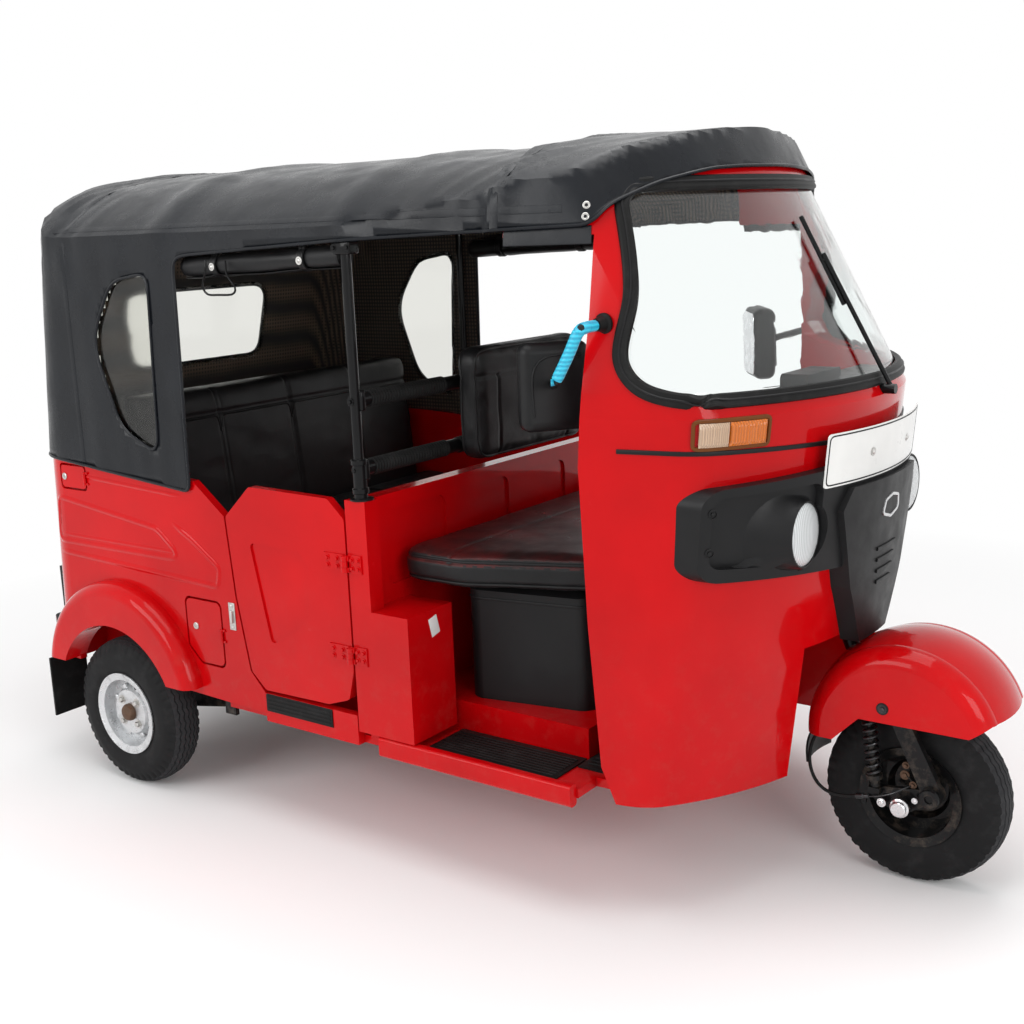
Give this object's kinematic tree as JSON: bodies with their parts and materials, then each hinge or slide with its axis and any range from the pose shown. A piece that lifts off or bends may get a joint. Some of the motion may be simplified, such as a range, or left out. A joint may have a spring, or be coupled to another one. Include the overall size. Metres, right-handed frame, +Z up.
{
  "type": "auto rickshaw",
  "caption": "Three-wheeled passenger auto rickshaw with a steered front wheel, half doors, ribbed bulkhead and a black fabric canopy on hoops.",
  "frame": {"origin": "on the ground under the middle of the overall length and width", "axes": "+X forward, +Y to the vehicle's left, +Z up"},
  "size_m": [2.6325, 1.3, 1.675],
  "materials": {
    "red_paint": "glossy bright red enamel",
    "black_plastic": "satin black moulding",
    "lens_clear": "clear lens",
    "signal_lens": "amber and red lenses",
    "plate_white": "white, blank",
    "canopy_vinyl": "charcoal coated fabric, semi-gloss",
    "clear_vinyl": "clear flexible sheet",
    "screen_glass": "laminated windscreen",
    "black_steel": "black enamel",
    "vinyl": "black seat vinyl",
    "rubber": "black rubber",
    "tyre": "black tyre",
    "silver_rim": "silver enamel",
    "cast": "cast alloy"
  },
  "bodies": {
    "body": {"front_shell": "red_paint", "windscreen": "screen_glass", "lamp_fascia": "black_plastic", "headlamps": "lens_clear", "signal_lamps": "signal_lens", "number_plate": "plate_white", "rear_body": "red_paint", "rear_fenders": "red_paint", "mud_flaps": "rubber", "rear_bumper": "black_steel", "canopy": "canopy_vinyl", "window_panes": "clear_vinyl", "canopy_frame": "black_steel", "rolled_curtains": "canopy_vinyl", "floor_pan": "red_paint", "bulkhead": "red_paint", "chassis": "black_steel", "steering_head": "black_steel", "rear_suspension": "black_steel", "engine": "cast", "seat_box": "black_plastic", "driver_cushion": "vinyl", "driver_backrest": "vinyl", "bench_cushion": "vinyl", "bench_back": "vinyl", "floor_mat": "rubber", "dash_panel": "black_plastic", "mirrors": "black_plastic", "wiper": "black_steel"},
    "steering": {"handlebar": "black_steel", "fork": "black_steel", "front_shock": "black_steel", "front_fender": "red_paint", "brake_cable": "rubber"},
    "front_wheel": {"front_tyre": "tyre", "front_rim": "black_steel"},
    "rear_wheel_left": {"rear_tyre_left": "tyre", "rear_rim_left": "silver_rim"},
    "rear_wheel_right": {"rear_tyre_right": "tyre", "rear_rim_right": "silver_rim"},
    "door_left": {"door_left": "red_paint"},
    "door_right": {"door_right": "red_paint"},
    "engine_lid": {"engine_lid": "red_paint"},
    "side_hatch": {"side_hatch": "red_paint"},
    "filler_flap": {"filler_flap": "red_paint"}
  },
  "joints": [
    {"name": "steering_turn", "type": "hinge", "parent": "body", "child": "steering", "pos_m": [0.9275, 0, 0.57], "axis": [-0.3859, 0, 0.9225], "range_deg": [-40, 40]},
    {"name": "front_wheel_spin", "type": "hinge", "parent": "steering", "child": "front_wheel", "pos_m": [1.1075, 0, 0.2075], "axis": [0, 1, 0], "continuous": true},
    {"name": "rear_wheel_left_spin", "type": "hinge", "parent": "body", "child": "rear_wheel_left", "pos_m": [-0.8925, 0.575, 0.2075], "axis": [0, 1, 0], "continuous": true},
    {"name": "rear_wheel_right_spin", "type": "hinge", "parent": "body", "child": "rear_wheel_right", "pos_m": [-0.8925, -0.575, 0.2075], "axis": [0, 1, 0], "continuous": true},
    {"name": "door_left_hinge", "type": "hinge", "parent": "body", "child": "door_left", "pos_m": [-0.0365, 0.61, 0.62], "axis": [0, 0, -1], "range_deg": [0, 90]},
    {"name": "door_right_hinge", "type": "hinge", "parent": "body", "child": "door_right", "pos_m": [-0.0365, -0.61, 0.62], "axis": [0, 0, 1], "range_deg": [0, 90]},
    {"name": "engine_lid_hinge", "type": "hinge", "parent": "body", "child": "engine_lid", "pos_m": [-1.21657, 0, 0.787], "axis": [0, 1, 0], "range_deg": [0, 80]},
    {"name": "side_hatch_hinge", "type": "hinge", "parent": "body", "child": "side_hatch", "pos_m": [-0.4905, -0.604, 0.488], "axis": [0, 0, 1], "range_deg": [0, 100]},
    {"name": "filler_flap_hinge", "type": "hinge", "parent": "body", "child": "filler_flap", "pos_m": [-0.9935, -0.604, 0.8565], "axis": [0, 0, 1], "range_deg": [0, 100]}
  ]
}
